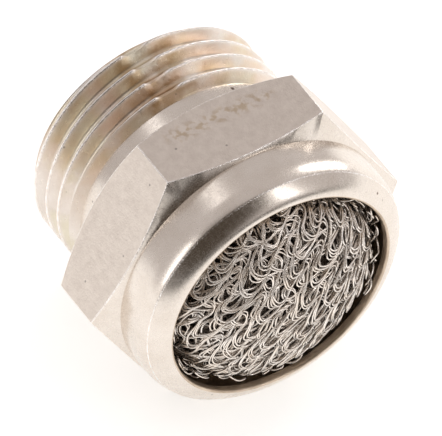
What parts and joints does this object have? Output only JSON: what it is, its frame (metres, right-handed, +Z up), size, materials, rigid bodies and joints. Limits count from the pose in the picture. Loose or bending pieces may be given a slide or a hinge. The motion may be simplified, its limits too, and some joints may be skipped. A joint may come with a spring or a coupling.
{
  "type": "pneumatic exhaust muffler",
  "caption": "Compact air exhaust silencer: a nickel-plated hexagon body with a male pipe thread and a rolled cup that holds a domed cushion of knitted wire.",
  "frame": {"origin": "on the body's axis at the seating face behind the hexagon", "axes": "+X along the axis from the thread to the wire dome, +Z up from the hexagon flat it lies on"},
  "size_m": [0.0181, 0.022, 0.019],
  "materials": {
    "nickel_plated_brass": "satin nickel plate over brass",
    "knitted_wire": "bright drawn stainless wire, knitted and pressed"
  },
  "bodies": {
    "root": {"body": "nickel_plated_brass", "mesh_face_ply": "knitted_wire", "mesh_second_ply": "knitted_wire", "mesh_core": "knitted_wire", "mesh_back_ply": "knitted_wire"}
  },
  "joints": []
}
